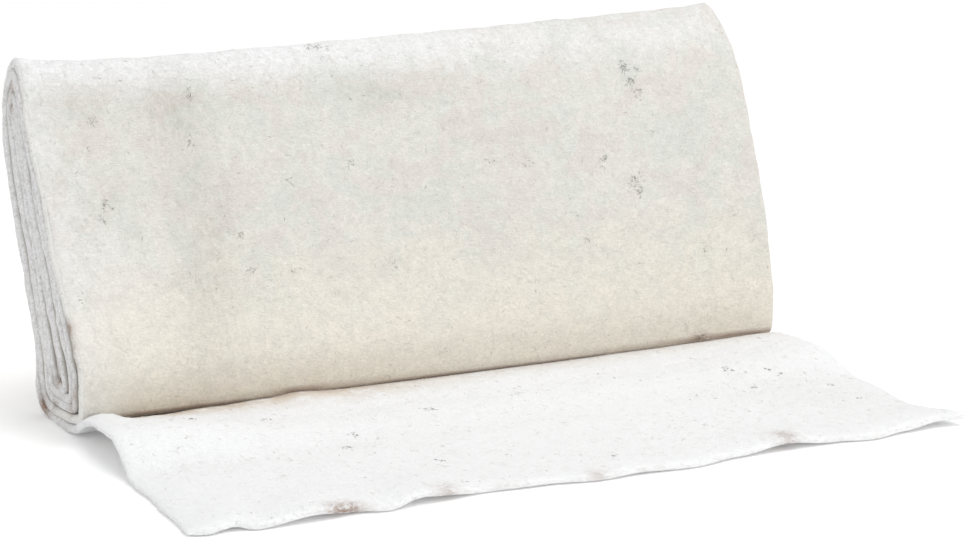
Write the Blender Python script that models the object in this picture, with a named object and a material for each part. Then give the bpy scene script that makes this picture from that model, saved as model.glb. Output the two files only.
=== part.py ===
"""A roll of felt: one length wound flat into a tall leaning roll, with its loose end laid out in front.

The wound form is one solid, lofted along X from outlines that change between the two ends.
The loose end grows out of the foot of the roll, arches a little and lies on the ground.
"""

import math

import bmesh
import bpy

NAME = "roll_of_felt"

# Driving sizes, in metres. X runs along the roll, -Y is the front, Z is up, and y = 0 is
# where the outermost turn comes down on the loose end, until the whole form is centred.
WIDTH = 0.600
FELT = 0.0075

# Stations along the roll, points on each stretch of the outline, points across the loose end,
# and points from there to the flat bed that the roll rests on
STATIONS = 41
OUTLINE_STEPS = 2
LOOSE_STEPS = 17
BED_STEPS = 2
# How much closer together the stations lie near the ends, from 0 for even to 1
CROWDING = 0.35
# and how much closer together the points along the loose end lie beside the roll, 1 for even
LOOSE_CROWDING = 1.5
# How far the felt's cut edge bulges out between its two faces
EDGE_BULGE = 0.0022

# How far the top sags between its ends, and the share of the length in which it drops at the left
TOP_SAG = 0.0095
TOP_DROP = 0.08

# Outline of the wound form at its two ends, from the foot behind, over the top, to the front.
# place on the outline, left end (y, z), right end (y, z)
OUTLINE = (
    ("foot", (0.046, 0.000), (0.046, 0.000)),
    ("heel", (0.066, 0.007), (0.062, 0.007)),
    ("heel side", (0.072, 0.024), (0.069, 0.026)),
    ("neck", (0.069, 0.050), (0.069, 0.052)),
    ("lower back", (0.085, 0.084), (0.080, 0.088)),
    ("middle back", (0.103, 0.128), (0.092, 0.130)),
    ("upper back", (0.123, 0.170), (0.104, 0.172)),
    ("swelling", (0.130, 0.208), (0.111, 0.212)),
    ("behind the top", (0.121, 0.248), (0.104, 0.252)),
    ("top", (0.099, 0.269), (0.079, 0.275)),
    ("before the top", (0.081, 0.256), (0.047, 0.258)),
    ("upper front", (0.070, 0.226), (0.024, 0.228)),
    ("middle front", (0.046, 0.184), (0.005, 0.186)),
    ("lower front", (0.015, 0.131), (-0.015, 0.131)),
    ("shoulder", (-0.008, 0.096), (-0.027, 0.092)),
    ("curl side", (-0.036, 0.060), (-0.035, 0.056)),
    ("curl", (-0.038, 0.039), (-0.034, 0.032)),
    ("under the curl", (-0.029, 0.021), (-0.0255, 0.0158)),
)

# How far the outermost turn tucks in under the curl before it meets the loose end: ends, middle
TUCK = (0.012, 0.024)

# The loose end's arch beside the roll: where it leaves the ground, is highest and lands again
ARCH_START = 0.008
ARCH_CREST = -0.095
ARCH_END = -0.155
# its height at the left end, in the middle and at the right end, and how fast the ends' part fades
ARCH_HEIGHTS = (0.0208, 0.0050, 0.0138)
ARCH_FADE = 0.110

# The ridge in which the loose end rises against the curl: x, and its height over the arch there
RIDGE = (
    (-0.300, 0.0012),
    (-0.288, 0.0065),
    (-0.272, 0.0050),
    (-0.256, 0.0028),
    (-0.150, 0.0062),
    (0.000, 0.0072),
    (0.150, 0.0066),
    (0.300, 0.0036),
)
# y at which the ridge starts, reaches its height, leaves it and has sunk into the arch again
RIDGE_SPAN = (0.006, -0.036, -0.045, -0.090)

# The loose end's uneven front edge: x, its y, and how high it lifts off the ground there
FRONT_EDGE = (
    (-0.300, -0.277, 0.0000),
    (-0.280, -0.277, 0.0015),
    (-0.253, -0.283, 0.0000),
    (-0.212, -0.282, 0.0040),
    (-0.184, -0.279, 0.0010),
    (-0.161, -0.285, 0.0000),
    (-0.134, -0.280, 0.0045),
    (-0.116, -0.280, 0.0030),
    (-0.090, -0.277, 0.0000),
    (-0.046, -0.281, 0.0005),
    (0.000, -0.289, 0.0000),
    (0.025, -0.288, 0.0010),
    (0.069, -0.292, 0.0000),
    (0.110, -0.285, 0.0005),
    (0.150, -0.283, 0.0042),
    (0.188, -0.285, 0.0005),
    (0.218, -0.291, 0.0000),
    (0.250, -0.286, 0.0010),
    (0.278, -0.284, 0.0038),
    (0.300, -0.288, 0.0042),
)
# how far back from the edge the lifts reach
LIFT_DEPTH = 0.060

# The loose end's sides in plan: how far its corners spread past the roll's ends, how far the
# right side draws in before its corner, and the share of the reach at which it does
SPREAD_LEFT = 0.011
SPREAD_RIGHT = 0.005
CORNER_RIGHT = 0.004
DRAWN_IN = 0.009
DRAWN_IN_AT = 0.82
DRAWN_IN_SPAN = 0.13

# Soft swellings of the front face: depth and number of waves along the roll
FACE_WAVE = 0.0018
FACE_WAVES = 2.6


def blend(a, b, share):
    """Return the value a share of the way from a to b."""
    return a + (b - a) * share


def ease(share):
    """Return a share from 0 to 1 that starts and ends gently."""
    share = min(max(share, 0.0), 1.0)
    return 0.5 - 0.5 * math.cos(math.pi * share)


def through(points, steps):
    """Return a smooth open curve through the points, as Catmull-Rom spans."""
    curve = []
    last = len(points) - 1
    for i in range(last):
        before = points[max(i - 1, 0)]
        start, end = points[i], points[i + 1]
        after = points[min(i + 2, last)]
        for step in range(steps):
            t = step / steps
            curve.append(tuple(
                0.5 * (2 * q + (r - p) * t + (2 * p - 5 * q + 4 * r - s) * t ** 2
                       + (3 * q - p - 3 * r + s) * t ** 3)
                for p, q, r, s in zip(before, start, end, after)))
    curve.append(points[last])
    return curve


def arch_height(x):
    """Return how high the loose end arches beside the roll at this x."""
    left, middle, right = ARCH_HEIGHTS
    from_left = (x + WIDTH / 2) / ARCH_FADE
    from_right = (x - WIDTH / 2) / ARCH_FADE
    return (middle + (left - middle) * math.exp(-from_left ** 2)
            + (right - middle) * math.exp(-from_right ** 2))


def ridge_height(x):
    """Return how high the loose end's ridge stands over the arch at this x."""
    for (x0, height0), (x1, height1) in zip(RIDGE, RIDGE[1:]):
        if x <= x1 or x1 == RIDGE[-1][0]:
            return blend(height0, height1, ease((x - x0) / (x1 - x0)))


def front_edge(x):
    """Return the y and the lift of the loose end's front edge at this x."""
    for (x0, y0, lift0), (x1, y1, lift1) in zip(FRONT_EDGE, FRONT_EDGE[1:]):
        if x <= x1 or x1 == FRONT_EDGE[-1][0]:
            share = ease((x - x0) / (x1 - x0))
            return blend(y0, y1, share), blend(lift0, lift1, share)


def underside(x, y):
    """Return the height of the loose end's underside at x, y."""
    if y > ARCH_CREST:
        share = ease((ARCH_START - y) / (ARCH_START - ARCH_CREST))
    else:
        share = ease((y - ARCH_END) / (ARCH_CREST - ARCH_END))
    start, full, leave, sunk = RIDGE_SPAN
    ridge = ease((start - y) / (start - full)) * (1 - ease((leave - y) / (leave - sunk)))
    edge, lift = front_edge(x)
    return (arch_height(x) * share + ridge_height(x) * ridge
            + lift * (1 - ease((y - edge) / LIFT_DEPTH)))


def spread(x, y):
    """Return x moved to the loose end's own outline at this y."""
    side = x / (WIDTH / 2)
    reached = max(y / front_edge(x)[0], 0.0)
    if side < 0:
        return x + side * SPREAD_LEFT * reached ** 2
    drawn = DRAWN_IN * math.exp(-((reached - DRAWN_IN_AT) / DRAWN_IN_SPAN) ** 2)
    return x + side * (SPREAD_RIGHT * ease(reached * 2) + CORNER_RIGHT * reached ** 8 - drawn)


def wound_outline(x):
    """Return the (y, z) outline of the wound form at x, from its foot behind to its curl in front."""
    share = x / WIDTH + 0.5
    rows = [(blend(left[0], right[0], share), blend(left[1], right[1], share))
            for _, left, right in OUTLINE]
    sag = TOP_SAG * (1 - math.exp(-share / TOP_DROP)) * math.sqrt(1 - share)
    top = max(z for _, z in rows)
    wave = FACE_WAVE * math.sin(2 * math.pi * FACE_WAVES * share)
    shaped = []
    for y, z in through(rows, OUTLINE_STEPS):
        height = z / top
        shaped.append((y + wave * math.sin(math.pi * height), z - sag * height ** 3))
    return shaped


def section(x):
    """Return the closed outline at x: the wound form, then the loose end's top, nose and underside."""
    wound = wound_outline(x)
    contact = wound[-1][0] + blend(*TUCK, math.sin(math.pi * (x / WIDTH + 0.5)))
    edge, _ = front_edge(x)
    tops, unders = [], []
    for step in range(LOOSE_STEPS):
        y = blend(contact, edge + EDGE_BULGE, (step / (LOOSE_STEPS - 1)) ** LOOSE_CROWDING)
        tops.append((spread(x, y), y, underside(x, y) + FELT))
    for step in range(LOOSE_STEPS):
        y = blend(contact, edge + EDGE_BULGE, (1 - step / (LOOSE_STEPS - 1)) ** LOOSE_CROWDING)
        unders.append((spread(x, y), y, underside(x, y)))
    nose = (spread(x, edge), edge, underside(x, edge) + FELT / 2)
    bed = []
    for step in range(1, BED_STEPS + 1):
        y = blend(contact, ARCH_START, step / BED_STEPS)
        bed.append((x, y, underside(x, y)))
    return [(x, y, z) for y, z in wound] + tops + [nose] + unders + bed


def close_end(form, ring):
    """Close one end: the wound form as one flat face, the loose end as a strip across its thickness."""
    wound_points = len(ring) - 2 * LOOSE_STEPS - 1 - BED_STEPS
    wound = ring[:wound_points]
    tops = ring[wound_points:wound_points + LOOSE_STEPS]
    nose = ring[wound_points + LOOSE_STEPS]
    unders = ring[wound_points + LOOSE_STEPS + 1:-BED_STEPS][::-1]
    bed = ring[-BED_STEPS:]
    form.faces.new(wound + [tops[0], unders[0]] + bed)
    for i in range(LOOSE_STEPS - 1):
        form.faces.new((tops[i], tops[i + 1], unders[i + 1], unders[i]))
    form.faces.new((tops[-1], nose, unders[-1]))


def build_roll():
    """Loft the sections along the roll into one closed solid."""
    mesh = bpy.data.meshes.new("felt")
    form = bmesh.new()
    rings = []
    for station in range(STATIONS):
        share = station / (STATIONS - 1)
        x = WIDTH * (blend(share, ease(share), CROWDING) - 0.5)
        rings.append([form.verts.new(point) for point in section(x)])
    for ring, following in zip(rings, rings[1:]):
        for i in range(len(ring)):
            j = (i + 1) % len(ring)
            form.faces.new((ring[i], ring[j], following[j], following[i]))
    for ring in (rings[0], rings[-1]):
        close_end(form, ring)
    bmesh.ops.triangulate(form, faces=form.faces[:])
    bmesh.ops.recalc_face_normals(form, faces=form.faces[:])
    form.to_mesh(mesh)
    form.free()
    return mesh


def centre(mesh):
    """Move the mesh so that the origin is at the bottom centre of its box."""
    corners = [[vertex.co[axis] for vertex in mesh.vertices] for axis in range(3)]
    middle_x, middle_y = ((min(values) + max(values)) / 2 for values in corners[:2])
    for vertex in mesh.vertices:
        vertex.co.x -= middle_x
        vertex.co.y -= middle_y
        vertex.co.z -= min(corners[2])


def felt_material():
    """Return the felt's plain material."""
    material = bpy.data.materials.new("felt")
    material.use_nodes = True
    surface = material.node_tree.nodes["Principled BSDF"]
    surface.inputs["Base Color"].default_value = (0.80, 0.77, 0.70, 1.0)
    surface.inputs["Roughness"].default_value = 0.95
    surface.inputs["Metallic"].default_value = 0.0
    return material


def main():
    for existing in list(bpy.data.objects):
        bpy.data.objects.remove(existing, do_unlink=True)
    collection = bpy.data.collections.new(NAME)
    bpy.context.scene.collection.children.link(collection)
    mesh = build_roll()
    centre(mesh)
    mesh.materials.append(felt_material())
    mesh.shade_smooth()
    mesh.set_sharp_from_angle(angle=math.radians(50))
    collection.objects.link(bpy.data.objects.new("felt", mesh))


main()
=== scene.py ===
"""The looks of the roll of felt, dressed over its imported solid.

One length of thick felt is laid out as a real sheet: its loose end on the floor, then five
turns wound flat into the leaning roll. Loose wool stands on it, and dark hairs lie in it.
"""

import math

import bmesh
import bpy
import numpy as np
from mathutils import Matrix, Vector
from mathutils.bvhtree import BVHTree


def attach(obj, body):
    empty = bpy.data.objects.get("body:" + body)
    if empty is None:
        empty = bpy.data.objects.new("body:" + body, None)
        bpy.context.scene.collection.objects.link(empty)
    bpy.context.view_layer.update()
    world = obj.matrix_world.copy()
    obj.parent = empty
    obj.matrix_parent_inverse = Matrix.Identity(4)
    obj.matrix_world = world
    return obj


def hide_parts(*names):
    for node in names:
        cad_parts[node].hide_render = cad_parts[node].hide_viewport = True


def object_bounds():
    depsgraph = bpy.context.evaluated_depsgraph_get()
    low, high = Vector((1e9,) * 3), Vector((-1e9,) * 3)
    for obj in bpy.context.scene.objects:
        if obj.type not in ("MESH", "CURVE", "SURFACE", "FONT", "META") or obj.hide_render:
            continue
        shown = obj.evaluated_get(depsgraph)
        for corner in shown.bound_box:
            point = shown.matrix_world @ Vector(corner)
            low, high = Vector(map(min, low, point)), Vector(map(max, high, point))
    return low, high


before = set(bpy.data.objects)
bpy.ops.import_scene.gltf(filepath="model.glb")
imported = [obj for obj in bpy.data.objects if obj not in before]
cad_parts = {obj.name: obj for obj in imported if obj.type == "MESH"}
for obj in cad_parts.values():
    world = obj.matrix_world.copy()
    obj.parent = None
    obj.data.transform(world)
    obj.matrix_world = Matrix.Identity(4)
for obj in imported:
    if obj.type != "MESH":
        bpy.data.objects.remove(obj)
cad_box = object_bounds()

# The felt as it is cut, in metres
WIDTH = 0.6
LOOSE_FELT = 0.0075
WOUND_FELT = 0.0078

# The winding: turns, the space that one layer takes at the foot, and how full the layers fit
TURNS = 5
FOOT_PITCH = 0.0075
FULLNESS = 0.97
LAST_TURN_ENDS = 0.845

# Outline of the wound form at its two ends, from under its foot, over the top, to the tuck in front.
# place on the outline, left end (y, z), right end (y, z), share of the way up the core beside it
OUTLINE = (
    ("landing", (0.016, 0.0), (0.016, 0.0), 0.0),
    ("foot", (0.046, 0.0), (0.046, 0.0), 0.0),
    ("heel", (0.066, 0.007), (0.062, 0.007), 0.0),
    ("heel side", (0.072, 0.024), (0.069, 0.026), 0.0),
    ("neck", (0.069, 0.05), (0.069, 0.052), 0.08),
    ("lower back", (0.085, 0.084), (0.08, 0.088), 0.3),
    ("middle back", (0.103, 0.128), (0.092, 0.13), 0.54),
    ("upper back", (0.123, 0.17), (0.104, 0.172), 0.78),
    ("swelling", (0.13, 0.208), (0.111, 0.212), 0.95),
    ("behind the top", (0.121, 0.248), (0.104, 0.252), 1.0),
    ("top", (0.099, 0.269), (0.079, 0.275), 1.0),
    ("before the top", (0.081, 0.256), (0.047, 0.258), 1.0),
    ("upper front", (0.07, 0.226), (0.024, 0.228), 0.92),
    ("middle front", (0.046, 0.184), (0.005, 0.186), 0.74),
    ("lower front", (0.015, 0.131), (-0.015, 0.131), 0.48),
    ("shoulder", (-0.008, 0.096), (-0.027, 0.092), 0.28),
    ("curl side", (-0.036, 0.06), (-0.035, 0.054), 0.08),
    ("curl", (-0.0385, 0.036), (-0.0345, 0.029), 0.0),
    ("under the curl", (-0.0315, 0.0162), (-0.0305, 0.0138), 0.0),
    ("tuck", (-0.008, 0.0096), (-0.008, 0.0094), 0.0),
    ("tucked in", (0.016, FOOT_PITCH), (0.016, FOOT_PITCH), 0.0),
)
CURL_ROW = 17
TOP_ROW = 10
# The core, the slit in the middle of the winding: left end (y, z), right end (y, z)
CORE_FOOT = ((0.019, TURNS * FOOT_PITCH + 0.001), (0.019, TURNS * FOOT_PITCH + 0.001))
CORE_TOP = ((0.102, 0.224), (0.066, 0.222))

# How the open space between the layers is shared out, from the outermost gap to the core: by the
# heel, up the back, on top and in front
GAPS_AT_HEEL = (0.44, 0.1, 0.16, 0.14, 0.16)
GAPS_BEHIND = (0.02, 0.12, 0.3, 0.3, 0.26)
GAPS_ON_TOP = (0.06, 0.06, 0.34, 0.3, 0.24)
GAPS_IN_FRONT = (0.45, 0.08, 0.21, 0.08, 0.18)
# The share of the turn at which the heel ends, those before and after the top at which the shares
# for the top and the front begin, and the share over which each one comes in
HEEL_ENDS, HEEL_OVER = 0.17, 0.08
TOP_BEGINS, TOP_OVER = -0.16, 0.12
FRONT_BEGINS, FRONT_OVER = 0.05, 0.1
# Below this height the gaps keep those shares, and higher up they even out over this height
GAPS_OPEN_BELOW = 0.08
GAPS_EVEN_OVER = 0.05
GAPS_KEEP = 0.6
# and at the right end the layers keep this much of it
GAPS_AT_RIGHT = 0.45
# The share of a turn over which the layers come together before and after the foot
GATHER_BEHIND = 0.12
GATHER_IN_FRONT = 0.2

# How far the top sags between its ends, and the share of the length in which it drops at the left
TOP_SAG = 0.0095
TOP_DROP = 0.08
# Soft swellings of the front face: depth and number of waves along the roll
FACE_WAVE = 0.0018
FACE_WAVES = 2.6

# The loose end's arch beside the roll: where it leaves the ground, is highest and lands again
ARCH_START = 0.008
ARCH_CREST = -0.095
ARCH_END = -0.155
# its height at the left end, in the middle and at the right end, and how fast the ends' part fades
ARCH_HEIGHTS = (0.0208, 0.005, 0.0138)
ARCH_FADE = 0.11

# The ridge in which the loose end rises against the curl: x, and its height over the arch there
RIDGE = (
    (-0.3, 0.0046),
    (-0.292, 0.0066),
    (-0.286, 0.007),
    (-0.28, 0.0056),
    (-0.273, 0.0024),
    (-0.266, 0.0004),
    (-0.24, 0.0012),
    (-0.2, 0.004),
    (-0.15, 0.0068),
    (-0.13, 0.0093),
    (-0.09, 0.0072),
    (0.0, 0.0064),
    (0.15, 0.0058),
    (0.2, 0.005),
    (0.25, 0.0042),
    (0.3, 0.0046),
)
# y at which the ridge starts, reaches its height, leaves it and has sunk into the arch again
RIDGE_SPAN = (-0.01, -0.038, -0.046, -0.09)

# The loose end's uneven front edge: x, its y, and how high it lifts off the ground there
FRONT_EDGE = (
    (-0.3, -0.27, 0.0),
    (-0.294, -0.276, 0.0002),
    (-0.285, -0.2785, 0.0004),
    (-0.275, -0.2764, 0.0016),
    (-0.267, -0.2758, 0.0024),
    (-0.259, -0.2797, 0.0003),
    (-0.253, -0.2825, 0.0),
    (-0.212, -0.282, 0.004),
    (-0.184, -0.279, 0.001),
    (-0.161, -0.285, 0.0),
    (-0.134, -0.28, 0.0045),
    (-0.116, -0.28, 0.003),
    (-0.09, -0.277, 0.0),
    (-0.046, -0.281, 0.0005),
    (0.0, -0.289, 0.0),
    (0.025, -0.288, 0.001),
    (0.069, -0.292, 0.0),
    (0.11, -0.285, 0.0005),
    (0.15, -0.283, 0.0042),
    (0.188, -0.285, 0.0005),
    (0.218, -0.291, 0.0),
    (0.25, -0.286, 0.001),
    (0.278, -0.284, 0.0038),
    (0.3, -0.288, 0.0042),
)
LIFT_DEPTH = 0.06

# The loose end's sides in plan: how far its corners spread past the roll's ends, how far the
# right side draws in before its corner, and the share of the reach at which it does
SPREAD_LEFT = 0.011
SPREAD_RIGHT = 0.005
CORNER_RIGHT = 0.0075
DRAWN_IN = 0.009
DRAWN_IN_AT = 0.82
DRAWN_IN_SPAN = 0.13

# The form is laid out from y = 0 where the outermost turn lands, then moved onto the frame
FORM_LEFT = -(WIDTH / 2 + SPREAD_LEFT)
FORM_BACK = 0.13

# Mesh fineness: the widest step along the loose end and outer turn, and along the inner turns,
# the finest step at a fold, the largest turn in one step, the columns across the felt, and how
# far they crowd towards its cut edges
OUTER_STEP = 0.005
INNER_STEP = 0.008
FINEST_STEP = 0.002
TURN_PER_STEP = 0.3
COLUMNS = 80
COLUMN_CROWDING = 0.62

# The rounded cut edge, from the face to its middle: share of the half thickness and distance
# in from the cut, first for the wound turns and then for the loose end and the roll's front, worn rounder
EDGE_INSET = 0.0034
WOUND_EDGE = ((0.95, 0.0018), (0.78, 0.0008), (0.45, 0.00018), (0.0, 0.0))
LOOSE_EDGE = ((0.9, 0.0021), (0.68, 0.001), (0.36, 0.00025), (0.0, 0.0))
# Thickness of the felt at the free end, as a share, at these distances from its tip
TIP_ROUND = ((0.0, 0.3), (0.0005, 0.58), (0.0014, 0.8), (0.0027, 0.94), (0.0042, 1.0))
# How much thinner the loose end is at its cut edges, and how far in it thins
EDGE_THINNING = 0.3
THINNING_REACH = 0.01

# Unevenness of the felt: size of each wave in metres, and how far it moves the surface
LUMPS = ((0.045, 0.00026), (0.016, 0.00018), (0.007, 0.00016))
CUT_WANDER = ((0.09, 0.0004), (0.02, 0.00022), (0.006, 0.00018))
LOOSE_CUT_WANDER = ((0.06, 0.0005), (0.017, 0.0004))
# How far the turns have slipped sideways past each other
TELESCOPE = 0.0007
# The places along the outer turn at which the roll's front begins, and over which it comes in
FRONT_TURN_BEGINS, FRONT_TURN_OVER = 0.53, 0.06

# Camera: turned to the roll's left and raised, as the photograph was taken, in degrees and metres
CAMERA_TURN = 27.0
CAMERA_RISE = 13.11
CAMERA_DISTANCE = 2.3473
CAMERA_LENS = 111.9
CAMERA_ASIDE = 0.0435
CAMERA_LOWER = 0.00625
CAMERA_AIM_HEIGHT = 0.1


def blend(a, b, share):
    """Return the value a share of the way from a to b."""
    return a + (b - a) * share


def ease(share):
    """Return a share from 0 to 1 that starts and ends gently."""
    return 0.5 - 0.5 * np.cos(np.pi * np.clip(share, 0.0, 1.0))


def rumple(points, sizes, seed):
    """Return a smooth uneven height at each point, the sum of waves of the given sizes and heights."""
    draw = np.random.default_rng(seed)
    total = np.zeros(points.shape[:-1])
    for size, height in sizes:
        for _ in range(9):
            heading = draw.normal(size=points.shape[-1])
            heading *= 2 * np.pi / size / np.linalg.norm(heading) * draw.uniform(0.6, 1.4)
            total += height / 3 * 1.4 * np.sin(points @ heading + draw.uniform(0, 2 * np.pi))
    return total


def along(rows, place):
    """Return the smooth curve through the rows at each place, where row i is at place i."""
    first = 2 * rows[:1] - rows[1:2]
    last = 2 * rows[-1:] - rows[-2:-1]
    padded = np.concatenate([first, rows, last])
    span = np.clip(np.floor(place).astype(int), 0, len(rows) - 2)
    t = (place - span)[..., None]
    p, q, r, s = (padded[span + step] for step in range(4))
    return 0.5 * (2 * q + (r - p) * t + (2 * p - 5 * q + 4 * r - s) * t ** 2
                  + (3 * q - p - 3 * r + s) * t ** 3)


def eased_rows(rows, x):
    """Return the rows' other values at each x, eased from one row to the next."""
    table = np.array(rows)
    span = np.clip(np.searchsorted(table[:, 0], x) - 1, 0, len(table) - 2)
    share = ease((x - table[span, 0]) / (table[span + 1, 0] - table[span, 0]))
    return [blend(table[span, k], table[span + 1, k], share) for k in range(1, table.shape[1])]


def between_ends(left, right, share):
    """Return the points between the left end's and the right end's, at each share of the length."""
    return blend(left, right, share[..., None])


def core_point(share_up, share):
    """Return the point on the core at a share of its height and a share of the roll's length."""
    foot = between_ends(*map(np.array, CORE_FOOT), share)
    top = between_ends(*map(np.array, CORE_TOP), share)
    return foot + (top - foot) * share_up[..., None]


LEFT_ROWS = np.array([row[1] for row in OUTLINE])
RIGHT_ROWS = np.array([row[2] for row in OUTLINE])
CORE_SHARES = np.array([[row[3]] for row in OUTLINE])
LAST_ROW = len(OUTLINE) - 1


def outer_outline(turn_share, x):
    """Return the (y, z) of the wound form's outer surface at a share of the turn, at this x."""
    share = x / WIDTH + 0.5
    place = turn_share * LAST_ROW
    point = between_ends(along(LEFT_ROWS, place), along(RIGHT_ROWS, place), share)
    top = blend(LEFT_ROWS[TOP_ROW, 1], RIGHT_ROWS[TOP_ROW, 1], share)
    sag = TOP_SAG * (1 - np.exp(-share / TOP_DROP)) * np.sqrt(np.maximum(1 - share, 0))
    wave = FACE_WAVE * np.sin(2 * np.pi * FACE_WAVES * share)
    height = point[..., 1] / top
    return np.stack([point[..., 0] + wave * np.sin(np.pi * np.clip(height, 0, 1)),
                     np.maximum(point[..., 1] - sag * height ** 3, 0)], -1)


def gaps_outside(layer, turn_share, height, share):
    """Return the share of the open space outside a layer, at a share of the turn and of the length."""
    top = TOP_ROW / LAST_ROW
    to_top = ease((turn_share - top - TOP_BEGINS) / TOP_OVER)
    to_front = ease((turn_share - top - FRONT_BEGINS) / FRONT_OVER)
    off_heel = ease((turn_share - HEEL_ENDS) / HEEL_OVER)
    shares = [blend(blend(blend(heel, behind, off_heel), above, to_top), front, to_front)
              for heel, behind, above, front in zip(GAPS_AT_HEEL, GAPS_BEHIND, GAPS_ON_TOP, GAPS_IN_FRONT)]
    uneven = sum(shares[:layer]) + 0 * turn_share
    near_foot = ease(turn_share / GATHER_BEHIND) * ease((1 - turn_share) / GATHER_IN_FRONT)
    on_top = ease((height - 0.205) / 0.02)
    even_out = (1 - GAPS_KEEP) * ease((height - GAPS_OPEN_BELOW) / GAPS_EVEN_OVER)
    evenness = near_foot * np.maximum(1 - even_out, on_top) * blend(1.0, GAPS_AT_RIGHT, share)
    return blend(layer / TURNS, uneven, evenness)


def wound_layer(turn, x):
    """Return the (y, z) of the felt's middle and its thickness, after this many turns, at this x."""
    layer = min(int(turn), TURNS - 1)
    turn_share = np.full_like(x, turn - layer)
    outer = outer_outline(turn_share, x)
    inner = core_point(along(CORE_SHARES, turn_share * LAST_ROW)[..., 0].clip(0, 1), x / WIDTH + 0.5)
    step = 0.002
    before = outer_outline(np.maximum(turn_share - step, 0), x)
    after = outer_outline(np.minimum(turn_share + step, 1), x)
    heading = after - before
    heading /= np.linalg.norm(heading, axis=-1, keepdims=True)
    inward = np.stack([-heading[..., 1], heading[..., 0]], -1)
    depth = np.maximum(((inner - outer) * inward).sum(-1), 0.001)
    layers = TURNS - ease((turn_share - CURL_ROW / LAST_ROW) / (1 - CURL_ROW / LAST_ROW))
    wound = blend(LOOSE_FELT, WOUND_FELT, ease(turn / 0.1))
    thickness = np.minimum(wound, FULLNESS * depth / layers)
    open_space = depth - layers * thickness
    outside = gaps_outside(layer, turn_share, outer[..., 1], x / WIDTH + 0.5)
    offset = (layer + 0.5) * thickness + open_space * outside
    return outer + (inner - outer) * (offset / depth)[..., None], thickness


def arch_height(x):
    """Return how high the loose end arches beside the roll at this x."""
    left, middle, right = ARCH_HEIGHTS
    from_left = (x + WIDTH / 2) / ARCH_FADE
    from_right = (x - WIDTH / 2) / ARCH_FADE
    return middle + (left - middle) * np.exp(-from_left ** 2) + (right - middle) * np.exp(-from_right ** 2)


def loose_layer(reached, x):
    """Return the (y, z) of the loose end's middle, its x and its thickness, on the way to its free end."""
    edge, lift = eased_rows(FRONT_EDGE, x)
    y = blend(OUTLINE[0][1][0], edge, reached)
    arch = np.where(y > ARCH_CREST, ease((ARCH_START - y) / (ARCH_START - ARCH_CREST)),
                    ease((y - ARCH_END) / (ARCH_CREST - ARCH_END)))
    start, full, leave, sunk = RIDGE_SPAN
    ridge = ease((start - y) / (start - full)) * (1 - ease((leave - y) / (leave - sunk)))
    under = (arch_height(x) * arch + eased_rows(RIDGE, x)[0] * ridge
             + lift * (1 - ease((y - edge) / LIFT_DEPTH)))
    out = np.clip(y / edge, 0, None)
    side = x / (WIDTH / 2)
    drawn = DRAWN_IN * np.exp(-((out - DRAWN_IN_AT) / DRAWN_IN_SPAN) ** 2)
    spread = np.where(side < 0, SPREAD_LEFT * out ** 2,
                      SPREAD_RIGHT * ease(out * 2) + CORNER_RIGHT * out ** 8 - drawn)
    from_side = np.exp(-(WIDTH / 2 - np.abs(x)) / THINNING_REACH) * ease(-y / 0.06)
    from_tip = np.exp(-(y - edge) / THINNING_REACH)
    thickness = LOOSE_FELT * (1 - EDGE_THINNING * np.maximum(from_side, from_tip))
    return np.stack([y, under + thickness / 2], -1), x + side * spread, thickness


def felt_line(place, x):
    """Return x, y, z of the felt's middle and its thickness, at a place along it.

    The place runs from -1 at the free end, through 0 where the roll lands on it, to the turns.
    """
    if place < 0:
        point, moved, thickness = loose_layer(-place, x)
        return np.column_stack([moved, point]), thickness
    point, thickness = wound_layer(place, x)
    return np.column_stack([x, point]), thickness


def stations():
    """Return the places along the felt at which it has a row of points, and each one's length so far."""
    middle = np.array([0.0])
    fine = np.concatenate([np.linspace(-1, 0, 500)[:-1], np.linspace(0, TURNS - 1 + LAST_TURN_ENDS, 4800)])
    line = np.array([felt_line(place, middle)[0][0] for place in fine])
    lengths = np.concatenate([[0], np.cumsum(np.linalg.norm(np.diff(line, axis=0), axis=1))])
    even = np.arange(0, lengths[-1], 0.001)
    path = np.column_stack([np.interp(even, lengths, line[:, axis]) for axis in (1, 2)])
    heading = np.unwrap(np.arctan2(*np.gradient(path, axis=0).T[::-1]))
    bend = np.abs(np.gradient(heading, even))
    bend = np.convolve(bend, np.ones(5) / 5, mode="same")
    outer_length = np.interp(1.0, fine, lengths)
    widest = np.where(even < outer_length, OUTER_STEP, INNER_STEP)
    step = np.clip(TURN_PER_STEP / np.maximum(bend, 1e-6), FINEST_STEP, widest)
    count = np.concatenate([[0], np.cumsum(np.diff(even) / step[:-1])])
    picked = np.interp(np.linspace(0, count[-1], int(count[-1]) + 1), count, even)
    tip = [distance for distance, _ in TIP_ROUND]
    picked = np.concatenate([tip, picked[picked > tip[-1] + FINEST_STEP / 2]])
    return np.interp(picked, lengths, fine), picked


def columns():
    """Return the places across the felt, as x at the roll, crowded towards its two cut edges."""
    even = np.linspace(-1, 1, COLUMNS)
    crowded = np.sin(even * np.pi / 2)
    return blend(even, crowded, COLUMN_CROWDING) * (WIDTH / 2 - EDGE_INSET)


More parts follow.
